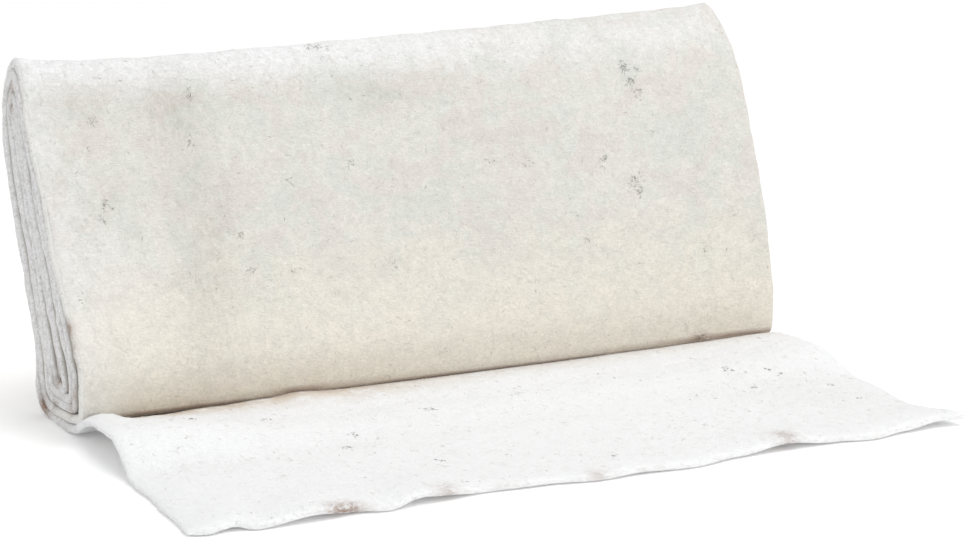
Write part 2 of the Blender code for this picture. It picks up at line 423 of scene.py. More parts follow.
def felt_points():
    """Return the felt's rows: places, lengths, columns, middles, half thickness, outward and its faces."""
    places, lengths = stations()
    across = columns()
    rows = [felt_line(place, across) for place in places]
    middles = np.array([middle for middle, _ in rows])
    thicknesses = np.array([thickness for _, thickness in rows])
    heading = np.gradient(middles[..., 1:], axis=0)
    heading /= np.linalg.norm(heading, axis=-1, keepdims=True)
    # the face that shows on the outside of the roll lies under the loose end
    outward = np.stack([heading[..., 1], -heading[..., 0]], -1)
    tip = np.interp(lengths, [distance for distance, _ in TIP_ROUND], [share for _, share in TIP_ROUND])
    half = thicknesses / 2 * tip[:, None]

    loose = (places < 0)[:, None]
    outer = ((places < 1) & (places > 0.01))[:, None]
    cloth = np.stack(np.broadcast_arrays(across[None, :], lengths[:, None]), -1)
    lumps = np.maximum(rumple(cloth, LUMPS, 11), -0.0004)
    lumps_above = np.maximum(rumple(cloth, LUMPS, 12), -0.0004)
    tucked = ease((places - 0.86) / 0.05)[:, None] * outer
    under_roll = ease((middles[..., 1] + 0.045) / 0.01)
    far_side = half + lumps * outer * (1 - tucked) * ease((middles[..., 2] - LOOSE_FELT) / 0.01)
    near_side = half + lumps_above * loose * (1 - under_roll)
    faces = []
    for distance in (far_side, -near_side):
        shift = outward * distance[..., None]
        faces.append(middles + np.concatenate([np.zeros_like(shift[..., :1]), shift], -1))
    return places, lengths, across, middles, half, outward, faces


def front_turn(places):
    """Return the share to which each place lies on the outer turn's front."""
    return ease((places - FRONT_TURN_BEGINS) / FRONT_TURN_OVER) * (places < 1)


def edge_points(side, places, lengths, middles, half, outward):
    """Return the rounded cut edge on one side: for each row of the felt, points from far face to near."""
    column = 0 if side < 0 else -1
    place = np.stack([lengths, np.full_like(lengths, side * 3.0)], -1)
    loose = 1 - ease((places + 0.12) / 0.12)
    worn = np.maximum(loose, front_turn(places))
    wander = blend(rumple(place, CUT_WANDER, 21), rumple(place, LOOSE_CUT_WANDER, 23), loose)
    wander += TELESCOPE * np.sin(lengths * 5.1 + side) * np.clip(lengths / 0.5, 0, 1)
    slant = rumple(place, ((0.05, 0.1),), 22)
    profile = [(*wound, *rounded) for wound, rounded in zip(WOUND_EDGE, LOOSE_EDGE)]
    profile += [(-row[0], row[1], -row[2], row[3]) for row in reversed(profile[:-1])]
    points = []
    for share, inset, worn_share, worn_inset in profile:
        point = middles[:, column].copy()
        point[:, 0] += side * (EDGE_INSET - blend(inset, worn_inset, worn)) + wander
        sway = blend(share, worn_share, worn)
        sway = np.clip(sway + slant * (1 - np.abs(sway)), -0.97, 0.97)
        point[:, 1:] += outward[:, column] * (half[:, column] * sway)[:, None]
        points.append(point)
    return np.stack(points, 1)


def build_felt(origin):
    """Return the felt as one closed mesh, with its cloth map and its cut edges as slot 1.

    With it come each point's place along the felt, whether it lies inside the winding, and the length.
    """
    places, lengths, across, middles, half, outward, (far, near) = felt_points()
    left = edge_points(-1, places, lengths, middles, half, outward)
    right = edge_points(1, places, lengths, middles, half, outward)
    loops = np.concatenate([far, right, near[:, ::-1], left[:, ::-1]], 1) + origin
    rows, around = loops.shape[:2]
    edge = left.shape[1]
    across_loop = np.concatenate([across, np.full(edge, WIDTH / 2), across[::-1], np.full(edge, -WIDTH / 2)])

    form = bmesh.new()
    grid = [[form.verts.new(point) for point in row] for row in loops]
    cut_columns = {*range(COLUMNS, COLUMNS + edge - 1), *range(2 * COLUMNS + edge, around - 1)}
    for i in range(rows - 1):
        for j in range(around):
            k = (j + 1) % around
            face = form.faces.new((grid[i][j], grid[i][k], grid[i + 1][k], grid[i + 1][j]))
            face.material_index = 1 if j in cut_columns else 0
    close_row(form, grid[0], edge)
    close_row(form, grid[-1], edge)
    bmesh.ops.recalc_face_normals(form, faces=form.faces[:])
    mesh = bpy.data.meshes.new("felt_sheet")
    form.to_mesh(mesh)
    form.free()
    mesh.shade_smooth()

    corners = np.empty(len(mesh.loops), int)
    mesh.loops.foreach_get("vertex_index", corners)
    cloth_map = mesh.uv_layers.new(name="cloth")
    cloth = np.column_stack([np.tile(across_loop, rows), np.repeat(lengths, around)])
    cloth_map.data.foreach_set("uv", cloth[corners].ravel())
    felt = bpy.data.objects.new("felt_sheet", mesh)
    bpy.context.collection.objects.link(felt)
    turned_in = np.zeros((rows, around), bool)
    turned_in[places > 0, COLUMNS + edge:2 * COLUMNS + edge] = True
    turned_in[places > 1, :COLUMNS] = True
    return felt, np.repeat(places, around), turned_in.ravel(), lengths[-1]


def close_row(form, row, edge):
    """Close the felt's first or last row across its thickness."""
    far = row[:COLUMNS]
    near = row[COLUMNS + edge:2 * COLUMNS + edge][::-1]
    right = row[COLUMNS:COLUMNS + edge]
    left = row[2 * COLUMNS + edge:]
    for i in range(COLUMNS - 1):
        form.faces.new((far[i], far[i + 1], near[i + 1], near[i])).material_index = 1
    form.faces.new([far[-1], *right, near[-1]]).material_index = 1
    form.faces.new([near[0], *left, far[0]]).material_index = 1


# Soiling on the roll's front: a band down it, and spots. x, y, z and how strong, in the form's own place
STAIN_BAND = (
    (-0.184, 0.09, 0.268, 0.1),
    (-0.185, 0.062, 0.228, 0.62),
    (-0.188, 0.047, 0.197, 0.52),
    (-0.176, 0.029, 0.168, 0.7),
    (-0.178, 0.015, 0.14, 0.7),
    (-0.182, 0.003, 0.12, 0.72),
    (-0.19, -0.015, 0.09, 0.7),
    (-0.199, -0.03, 0.06, 0.58),
    (-0.202, -0.033, 0.025, 0.18),
)
STAIN_BAND_WIDTH = 0.023
# x, y, z, radius and strength of each spot
STAIN_SPOTS = (
    (-0.186, 0.062, 0.226, 0.018, 0.3),
    (-0.17, 0.056, 0.212, 0.016, 0.22),
    (-0.018, 0.051, 0.226, 0.016, 0.7),
    (0.003, 0.047, 0.221, 0.013, 0.42),
    (-0.044, 0.056, 0.234, 0.012, 0.22),
    (-0.25, 0.036, 0.17, 0.016, 0.2),
    (-0.262, 0.06, 0.215, 0.02, 0.16),
    (-0.11, 0.04, 0.205, 0.018, 0.14),
    (0.062, 0.022, 0.175, 0.015, 0.16),
    (0.186, 0.0, 0.148, 0.01, 0.24),
    (0.2, 0.034, 0.232, 0.011, 0.22),
    (-0.258, -0.146, 0.006, 0.016, 0.2),
    (-0.14, -0.15, 0.006, 0.012, 0.12),
    (0.225, -0.13, 0.01, 0.06, 0.2),
    (0.262, -0.2, 0.008, 0.055, 0.18),
)
# Brown spots, given in the same way: on the left end and by the foot, and along the loose end's front edge,
# where they are painted shade under the places where it lifts
BROWN_SPOTS_AND_SHADE = (
    (-0.303, -0.012, 0.0837, 0.0058, 1.3),
    (-0.303, -0.0155, 0.077, 0.0052, 0.95),
    (-0.302, -0.0245, 0.07, 0.0045, 0.6),
    (-0.302, -0.0276, 0.0575, 0.005, 1.2),
    (-0.302, -0.027, 0.046, 0.005, 1.0),
    (-0.302, -0.023, 0.0348, 0.005, 0.8),
    (-0.3, -0.015, 0.025, 0.006, 0.45),
    (-0.3, -0.0111, 0.0192, 0.005, 0.45),
    (-0.3, 0.014, 0.0376, 0.0058, 0.95),
    (-0.3, 0.014, 0.05, 0.006, 0.3),
    (-0.3, 0.0228, 0.0168, 0.0045, 0.8),
    (-0.3, 0.049, 0.0071, 0.0085, 1.1),
    (-0.3, 0.056, 0.012, 0.007, 0.6),
    (-0.3, 0.0628, 0.0321, 0.0055, 0.25),
    (-0.3, 0.1012, 0.2453, 0.0042, 0.7),
    (-0.3, 0.1002, 0.2332, 0.004, 0.55),
    (0.232, -0.034, 0.0192, 0.0045, 1.1),
    (0.225, -0.035, 0.0182, 0.0034, 0.8),
    # painted shade under the lifted places of the loose end's front edge
    (-0.204, -0.279, 0.005, 0.0075, 1.0),
    (-0.191, -0.2785, 0.005, 0.0075, 0.8),
    (-0.1205, -0.277, 0.005, 0.009, 0.6),
    (-0.082, -0.284, 0.006, 0.008, 0.35),
    (-0.004, -0.287, 0.006, 0.008, 0.4),
    (0.156, -0.276, 0.006, 0.009, 0.9),
)

# Tangles of dark hair in the felt: x, y, z, width and height of the tangle, hairs, thickness of the hairs
DARK_TANGLES = (
    (0.196, 0.038, 0.234, 0.006, 0.007, 30, 0.8),
    (0.2, 0.031, 0.222, 0.005, 0.007, 24, 0.8),
    (0.205, 0.026, 0.213, 0.004, 0.004, 16, 0.8),
    (0.208, 0.036, 0.231, 0.004, 0.004, 9, 0.7),
    (0.186, -0.001, 0.148, 0.006, 0.008, 26, 0.9),
    (0.189, -0.005, 0.139, 0.004, 0.006, 14, 0.9),
    (0.162, 0.006, 0.165, 0.004, 0.005, 12, 0.7),
    (-0.059, 0.082, 0.261, 0.009, 0.004, 26, 0.9),
    (-0.048, 0.08, 0.258, 0.005, 0.002, 7, 0.6),
    (-0.169, 0.066, 0.235, 0.004, 0.009, 16, 0.6),
    (-0.175, 0.049, 0.203, 0.004, 0.008, 14, 0.6),
    (-0.252, 0.033, 0.163, 0.005, 0.007, 20, 0.7),
    (-0.256, 0.027, 0.152, 0.003, 0.005, 9, 0.6),
    (-0.25, 0.066, 0.221, 0.005, 0.004, 10, 0.5),
    (-0.051, 0.028, 0.178, 0.006, 0.003, 8, 0.6),
    (0.063, 0.015, 0.171, 0.005, 0.004, 9, 0.6),
    (0.096, 0.01, 0.168, 0.005, 0.003, 8, 0.5),
    (0.231, -0.034, 0.02, 0.006, 0.002, 12, 0.7),
    (-0.153, 0.009, 0.135, 0.006, 0.003, 9, 0.7),
    (-0.15, -0.005, 0.111, 0.004, 0.003, 6, 0.6),
    (-0.115, -0.008, 0.108, 0.006, 0.002, 6, 0.6),
    (-0.105, 0.025, 0.17, 0.003, 0.004, 6, 0.6),
    (-0.285, -0.004, 0.101, 0.004, 0.003, 6, 0.5),
    (-0.033, -0.011, 0.103, 0.005, 0.003, 6, 0.5),
    (0.239, -0.025, 0.09, 0.005, 0.004, 7, 0.5),
    (0.134, -0.017, 0.107, 0.004, 0.004, 7, 0.5),
    (-0.232, -0.081, 0.02, 0.006, 0.004, 10, 1.6),
    (-0.174, -0.088, 0.018, 0.004, 0.004, 7, 1.5),
    (-0.124, -0.133, 0.012, 0.005, 0.004, 10, 1.6),
    (-0.139, -0.154, 0.01, 0.007, 0.003, 10, 1.5),
    (-0.05, -0.104, 0.012, 0.005, 0.004, 9, 1.5),
    (-0.094, -0.214, 0.008, 0.004, 0.003, 7, 1.4),
    (0.021, -0.26, 0.008, 0.004, 0.003, 6, 1.4),
    (0.206, -0.114, 0.012, 0.003, 0.01, 9, 1.7),
    (0.23, -0.092, 0.012, 0.008, 0.004, 11, 1.6),
    (0.236, -0.123, 0.012, 0.005, 0.003, 7, 1.5),
    (0.245, -0.132, 0.012, 0.004, 0.003, 6, 1.5),
    (0.211, -0.149, 0.01, 0.004, 0.003, 5, 1.4),
    (0.268, -0.168, 0.01, 0.004, 0.003, 5, 1.3),
    (0.267, -0.21, 0.01, 0.004, 0.003, 5, 1.3),
)
SCATTERED_HAIRS = 420
LOOSE_FIBRES = 8800
# The lowest that the middle of a strand lies above the floor
LOWEST_STRAND = 0.0004


def spots_at(x, y, z, spots):
    """Return how strongly each point is covered by the soft round spots."""
    total = np.zeros_like(x)
    for spot_x, spot_y, spot_z, radius, strength in spots:
        away = ((x - spot_x) ** 2 + (y - spot_y) ** 2 + (z - spot_z) ** 2) / radius ** 2
        total += strength * np.exp(-away)
    return total


def shade_felt(felt, places, turned_in, origin):
    """Write onto the felt where it is yellowed, stained, dirty and wound up, and where shade and highlight
    are painted, one value a point.
    """
    mesh = felt.data
    place = np.empty(len(mesh.vertices) * 3)
    mesh.vertices.foreach_get("co", place)
    x, y, z = (place.reshape(-1, 3) - np.array(origin)).T
    on_roll = ease((z - 0.004) / 0.012) * (places > 0)
    # painted highlight: the roll's front is kept whiter, less yellowed and greyed, along its left edge where
    # the felt's corner catches the light
    left_edge_highlight = 1 - 0.5 * np.exp(-((x + 0.3) / 0.03) ** 2)
    yellowed = on_roll * (1 - ease((z - 0.03) / 0.15)) * left_edge_highlight
    clean_corner = np.exp(-((x + 0.25) / 0.045) ** 2) * ease((0.165 - z) / 0.05)
    # the top of the roll is left whiter and less greyed: partly less soil, partly a painted highlight where
    # light from above falls, strongest towards the left
    top_highlight = blend(1.0, 0.42, ease((x + 0.1) / 0.35))
    greyed = on_roll * (1 - top_highlight * ease((z - 0.226) / 0.036)) * (1 - 0.6 * clean_corner) * left_edge_highlight

    band = np.array(STAIN_BAND)[::-1]
    centre = np.interp(z, band[:, 2], band[:, 0])
    strength = np.interp(z, band[:, 2], band[:, 3])
    stain = strength * np.exp(-((x - centre) / STAIN_BAND_WIDTH) ** 2) * (y > -0.045) * (y < 0.095)
    stain += spots_at(x, y, z, STAIN_SPOTS)
    # the loose end is a little greyer towards its front edge
    stain += 0.1 * ease((-0.19 - y) / 0.07) * ease((x + 0.24) / 0.2)
    # the painted shade line in the crevice along the roll's foot, and the tint that spreads from it over both
    # sides
    along_line = ease((x + 0.285) / 0.03)
    line_height = 0.0075 + 0.45 * arch_height(x) + eased_rows(RIDGE, np.clip(x, -0.2999, 0.2999))[0]
    above = np.exp(-((z - line_height) / 0.0018) ** 2) * (y < 0) * (places > 0) * along_line
    fading = blend(1.0, 0.35, ease((x + 0.12) / 0.16))
    beside = np.exp(-(np.maximum(-0.042 - y, 0) / 0.02) ** 2) * (y < -0.02) * (places < 0)
    beside += 0.22 * np.exp(-((z - line_height) / 0.02) ** 2) * (y < 0) * (places > 0) * (places < 1)
    for name, values in (("stained", stain), ("yellowed", yellowed), ("greyed", greyed),
                         ("browned_and_shaded", spots_at(x, y, z, BROWN_SPOTS_AND_SHADE)), ("foot_crevice_shade", above),
                         ("foot_tint", beside * along_line * fading), ("turned_in", turned_in * 1.0),
                         ("front_turn", front_turn(places)), ("wound_up", ease((places + 0.15) / 0.12))):
        layer = mesh.attributes.new(name, "FLOAT", "POINT")
        layer.data.foreach_set("value", np.clip(values, 0, 1.5))


def surface_of(felt):
    """Return a tree to find the nearest point of the felt with."""
    mesh = felt.data
    tree = BVHTree.FromPolygons([v.co for v in mesh.vertices], [p.vertices for p in mesh.polygons])
    return tree


def strand(form, path, radius, flat):
    """Add one hair or fibre along the path: a three-sided strand that ends in two points."""
    first = form.verts.new(path[0])
    rings = []
    for i in range(1, len(path) - 1):
        heading = (path[i + 1] - path[i - 1]).normalized()
        side = heading.cross(flat)
        side = side.normalized() if side.length > 1e-6 else heading.orthogonal().normalized()
        up = side.cross(heading)
        ring = [form.verts.new(path[i] + radius * (math.cos(turn) * side + math.sin(turn) * up))
                for turn in (math.radians(90), math.radians(210), math.radians(330))]
        rings.append(ring)
    last = form.verts.new(path[-1])
    for k in range(3):
        n = (k + 1) % 3
        form.faces.new((first, rings[0][n], rings[0][k]))
        form.faces.new((last, rings[-1][k], rings[-1][n]))
    for ring, following in zip(rings, rings[1:]):
        for k in range(3):
            n = (k + 1) % 3
            form.faces.new((ring[k], ring[n], following[n], following[k]))


def bent_path(draw, tree, start, heading, normal, length, curl, stand, steps):
    """Return a wandering path over the felt's surface, lifted off it towards its middle by stand."""
    side = heading.cross(normal)
    turn = draw.normal(0, curl)
    point = start.copy()
    path = []
    for i in range(steps):
        share = i / (steps - 1)
        lift = stand * math.sin(math.pi * min(share * 1.15, 1.0))
        near, face_normal, _, _ = tree.find_nearest(point)
        path.append(near + face_normal * (lift + 0.00006))
        path[-1].z = max(path[-1].z, LOWEST_STRAND)
        bend = turn * (share + draw.normal(0, 0.35))
        point = near + (heading * math.cos(bend) + side * math.sin(bend)) * (length / (steps - 1))
    return path


def strand_piece(name, form):
    """Return the gathered strands as one object."""
    bmesh.ops.recalc_face_normals(form, faces=form.faces[:])
    mesh = bpy.data.meshes.new(name)
    form.to_mesh(mesh)
    form.free()
    mesh.shade_smooth()
    piece = bpy.data.objects.new(name, mesh)
    bpy.context.collection.objects.link(piece)
    return piece


def lay_dark_hairs(tree, origin):
    """Return the dark hairs that lie tangled in the felt, and a few that lie alone."""
    draw = np.random.default_rng(31)
    form = bmesh.new()
    for x, y, z, wide, high, hairs, dark in DARK_TANGLES:
        middle, normal, _, _ = tree.find_nearest(Vector((x, y, z)) + origin)
        across = Vector((1, 0, 0))
        along_face = normal.cross(across).normalized()
        for _ in range(hairs):
            spot = middle + across * draw.normal(0, wide * 0.42) + along_face * draw.normal(0, high * 0.42)
            near, face_normal, _, _ = tree.find_nearest(spot)
            turn = draw.uniform(0, 2 * math.pi)
            heading = across * math.cos(turn) + along_face * math.sin(turn)
            length = draw.uniform(0.0015, 0.0045)
            path = bent_path(draw, tree, near, heading, face_normal, length, 1.2, 0.0003, 5)
            strand(form, path, draw.uniform(0.00007, 0.00014) * (0.6 + 0.4 * dark), face_normal)
    return strand_piece("dark_hairs", form)


def outer_spot(draw, tree, origin, on_loose_end):
    """Return a random point of the felt that shows, and the way its surface faces."""
    x = np.array([draw.uniform(-0.5, 0.5) * WIDTH * 0.995])
    place = -draw.uniform(0.0, 1.0) if on_loose_end else draw.uniform(0.02, 0.98)
    middle, _ = felt_line(place, x)
    after, _ = felt_line(place + 0.001, x)
    heading = after[0] - middle[0]
    outward = Vector((0, heading[2], -heading[1])).normalized()
    if on_loose_end:
        outward.negate()
    near, normal, _, _ = tree.find_nearest(Vector(middle[0]) + origin + outward * 0.006)
    return near, normal


def edge_spot(draw, tree, origin):
    """Return a random point on the felt's cut sides or its free end, and the way it faces."""
    if draw.uniform() < 0.22:
        x = np.array([draw.uniform(-0.5, 0.5) * WIDTH])
        middle, _ = felt_line(-1.0, x)
        outward = Vector((0, -1, 0))
    else:
        side = -1 if draw.uniform() < 0.5 else 1
        x = np.array([side * WIDTH / 2])
        middle, _ = felt_line(draw.uniform(-1, TURNS - 1 + LAST_TURN_ENDS), x)
        outward = Vector((side, 0, 0))
    near, normal, _, _ = tree.find_nearest(Vector(middle[0]) + origin + outward * 0.002)
    return near, normal


def random_heading(draw, normal):
    """Return a random direction along a surface that faces the way of the normal."""
    first = normal.orthogonal().normalized()
    turn = draw.uniform(0, 2 * math.pi)
    return first * math.cos(turn) + normal.cross(first) * math.sin(turn)


def lay_scattered_hairs(tree, origin):
    """Return the short grey hairs strewn all over the felt."""
    draw = np.random.default_rng(32)
    form = bmesh.new()
    for _ in range(SCATTERED_HAIRS):
        spot, normal = outer_spot(draw, tree, origin, draw.uniform() < 0.22)
        length = draw.uniform(0.0012, 0.004)
        heading = random_heading(draw, normal)
        path = bent_path(draw, tree, spot, heading, normal, length, 0.9, 0.0002, 5)
        strand(form, path, draw.uniform(0.00006, 0.00016), normal)
    return strand_piece("grey_hairs", form)


def lay_loose_wool(tree, origin):
    """Return the pale fibres that stand loose on the felt's faces and along its cut edges."""
    draw = np.random.default_rng(33)
    form = bmesh.new()
    for _ in range(LOOSE_FIBRES):
        kind = draw.uniform()
        if kind < 0.27:
            spot, normal = edge_spot(draw, tree, origin)
            length = draw.uniform(0.002, 0.005)
            radius = draw.uniform(0.00004, 0.00009)
            stand = draw.uniform(0.0002, 0.0009)
        elif kind < 0.4:
            spot, normal = outer_spot(draw, tree, origin, draw.uniform() < 0.3)
            length = draw.uniform(0.0025, 0.0055)
            radius = draw.uniform(0.00015, 0.0003)
            stand = draw.uniform(0.0, 0.0003)
        else:
            spot, normal = outer_spot(draw, tree, origin, draw.uniform() < 0.3)
            length = draw.uniform(0.003, 0.009)
            radius = draw.uniform(0.00004, 0.0001)
            stand = draw.uniform(0.0001, 0.001)
        heading = random_heading(draw, normal)
        path = bent_path(draw, tree, spot, heading, normal, length, 1.1, stand, 5)
        strand(form, path, radius, normal)
    return strand_piece("loose_wool", form)


# Colours of the wool, and of its painted shade, as linear red, green and blue
WHITE_WOOL = (0.882, 0.886, 0.892)
GREYED_WOOL = (0.757, 0.744, 0.696)
YELLOWED_WOOL = (0.838, 0.788, 0.682)
GREENISH_PATCH = (0.7, 0.724, 0.672)
PINKISH_PATCH = (0.745, 0.69, 0.65)
SOILED_WOOL = (0.44, 0.408, 0.352)
BROWN_DIRT_AND_SHADE = (0.3, 0.2, 0.15)
FOOT_TINT = (0.64, 0.54, 0.43)
# painted shade: a dark grey laid on the faces turned into the winding, so the gaps between the turns look
# shaded
WINDING_GAP_SHADE = (0.3, 0.285, 0.265)
GREY_FLECK = (0.42, 0.405, 0.375)
CUT_WOOL = (0.822, 0.822, 0.826)
CREAM_EDGE = (0.83, 0.824, 0.79)
CUT_SHADOW = (0.5, 0.49, 0.475)
# Strands: their pale and their deep colour, and the size of its patches
DARK_HAIR = ((0.26, 0.25, 0.23), (0.13, 0.125, 0.115), 0.01)
GREY_HAIR = ((0.42, 0.39, 0.35), (0.22, 0.19, 0.16), 0.006)
LOOSE_WOOL = ((0.83, 0.82, 0.79), (0.78, 0.75, 0.68), 0.03)


def new_material(name):
    """Return a new node material's tree and its shader, with roughness set for wool."""
    material = bpy.data.materials.new(name)
    material.use_nodes = True
    tree = material.node_tree
    shader = tree.nodes["Principled BSDF"]
    shader.inputs["Roughness"].default_value = 0.95
    shader.inputs["Specular IOR Level"].default_value = 0.25
    return material, tree, shader


def add_node(tree, kind, **inputs):
    """Add a node of this kind with these input values, and return it."""
    node = tree.nodes.new(kind)
    for name, value in inputs.items():
        node.inputs[name.replace("_", " ")].default_value = value
    return node


def noise(tree, vector, scale, detail=2.0, rough=0.5, warp=0.0):
    """Return the value of a noise pattern over the vector."""
    pattern = add_node(tree, "ShaderNodeTexNoise", Scale=scale, Detail=detail, Roughness=rough,
                       Distortion=warp)
    tree.links.new(vector, pattern.inputs["Vector"])
    return pattern.outputs["Fac"]


def stretched(tree, vector, turn, scale):
    """Return the vector turned in the plane of the cloth and stretched by the scale."""
    mapping = tree.nodes.new("ShaderNodeMapping")
    mapping.inputs["Rotation"].default_value = (0, 0, math.radians(turn))
    mapping.inputs["Scale"].default_value = scale
    tree.links.new(vector, mapping.inputs["Vector"])
    return mapping.outputs["Vector"]


def ranged(tree, value, low, high, out_low=0.0, out_high=1.0):
    """Return the value from low to high, brought smoothly to the range of the outputs."""
    node = tree.nodes.new("ShaderNodeMapRange")
    node.interpolation_type = "SMOOTHSTEP"
    node.inputs["From Min"].default_value = low
    node.inputs["From Max"].default_value = high
    node.inputs["To Min"].default_value = out_low
    node.inputs["To Max"].default_value = out_high
    tree.links.new(value, node.inputs["Value"])
    return node.outputs["Result"]


def reckon(tree, operation, first, second):
    """Return the result of a sum on two values, each one a socket or a number."""
    node = tree.nodes.new("ShaderNodeMath")
    node.operation = operation
    for socket, value in zip(node.inputs, (first, second)):
        if isinstance(value, (int, float)):
            socket.default_value = value
        else:
            tree.links.new(value, socket)
    return node.outputs["Value"]


def mixed(tree, share, first, second):
    """Return the colour a share of the way from the first to the second."""
    node = tree.nodes.new("ShaderNodeMix")
    node.data_type = "RGBA"
    for socket, value in zip((node.inputs[0], node.inputs[6], node.inputs[7]), (share, first, second)):
        if isinstance(value, (int, float)):
            socket.default_value = value
        elif isinstance(value, tuple):
            socket.default_value = (*value, 1)
        else:
            tree.links.new(value, socket)
    return node.outputs[2]


def shown(tree, colour, other, mask, again, strength):
    """Return the colour with the other one showing where both masks are, up to this strength."""
    share = reckon(tree, "MULTIPLY", mask, again)
    share = reckon(tree, "MINIMUM", reckon(tree, "MULTIPLY", share, strength), 1.0)
    return mixed(tree, share, colour, other)


def attribute(tree, name):
    """Return the value that the mesh holds under this name."""
    node = tree.nodes.new("ShaderNodeAttribute")
    node.attribute_name = name
    return node.outputs["Fac"]


def wool_grain_group():
    """Build the group for felted wool: fibre height, tone, broad patches and flecks over the cloth."""
    group = bpy.data.node_groups.new("wool_grain", "ShaderNodeTree")
    group.interface.new_socket("Cloth", in_out="INPUT", socket_type="NodeSocketVector")
    for name in ("Height", "Fibres", "Tone", "Mottle", "Greenish", "Pinkish", "Flecks", "Specks"):
        group.interface.new_socket(name, in_out="OUTPUT", socket_type="NodeSocketFloat")
    given = group.nodes.new("NodeGroupInput").outputs["Cloth"]
    result = group.nodes.new("NodeGroupOutput")

    # fibres lie every way: the same long thin noise, turned several times
    strands = []
    for turn, fine in ((12, 1.0), (51, 0.85), (88, 1.1), (133, 0.9), (165, 1.05)):
        turned = stretched(group, given, turn, (230 * fine, 1100 * fine, 800))
        strands.append(ranged(group, noise(group, turned, 1.0, 2.0, 0.55, 0.9), 0.5, 0.76))
    fibres = strands[0]
    for other in strands[1:]:
        fibres = reckon(group, "MAXIMUM", fibres, other)
    pile = noise(group, given, 420.0, 3.0, 0.65, 0.5)
    tufts = noise(group, given, 150.0, 3.0, 0.6, 0.4)
    height = reckon(group, "ADD", reckon(group, "MULTIPLY", fibres, 0.3),
                    reckon(group, "MULTIPLY", pile, 0.8))
    height = reckon(group, "ADD", height, reckon(group, "MULTIPLY", tufts, 1.1))
    fine_tone = ranged(group, pile, 0.34, 0.66)
    tone = reckon(group, "ADD", reckon(group, "MULTIPLY", fine_tone, 0.6),
                  reckon(group, "MULTIPLY", ranged(group, tufts, 0.34, 0.66), 0.4))

    mottle = ranged(group, noise(group, given, 85.0, 5.0, 0.7, 0.8), 0.36, 0.64)
    greenish = ranged(group, noise(group, given, 20.0, 4.0, 0.66, 0.8), 0.48, 0.57)
    moved = stretched(group, given, 33, (1.0, 1.0, 1.0))
    pinkish = ranged(group, noise(group, moved, 25.0, 4.0, 0.66, 0.8), 0.49, 0.58)
    flecks = None
    for turn, long, thin in ((8, 190, 560), (64, 210, 620), (127, 180, 590)):
        streak = noise(group, stretched(group, given, turn, (long, thin, 400)), 1.0, 2.0, 0.6, 1.2)
        streak = ranged(group, streak, 0.66, 0.76)
        flecks = streak if flecks is None else reckon(group, "MAXIMUM", flecks, streak)
    specks = ranged(group, noise(group, moved, 150.0, 3.0, 0.6, 0.5), 0.64, 0.75)
    for name, value in (("Height", height), ("Fibres", fibres), ("Tone", tone), ("Mottle", mottle),
                        ("Greenish", greenish), ("Pinkish", pinkish), ("Flecks", flecks), ("Specks", specks)):
        group.links.new(value, result.inputs[name])
    return group


def wool_grain(tree, group):
    """Place the wool grain in a material, over the felt's own cloth map, and return its node."""
    cloth = tree.nodes.new("ShaderNodeUVMap")
    cloth.uv_map = "cloth"
    grain = tree.nodes.new("ShaderNodeGroup")
    grain.node_tree = group
    tree.links.new(cloth.outputs["UV"], grain.inputs["Cloth"])
    return grain, cloth.outputs["UV"]


def bump_into(tree, shader, height, distance, strength):
    """Give the shader this height as bump."""
    bump = tree.nodes.new("ShaderNodeBump")
    bump.inputs["Distance"].default_value = distance
    bump.inputs["Strength"].default_value = strength
    tree.links.new(height, bump.inputs["Height"])
    tree.links.new(bump.outputs["Normal"], shader.inputs["Normal"])


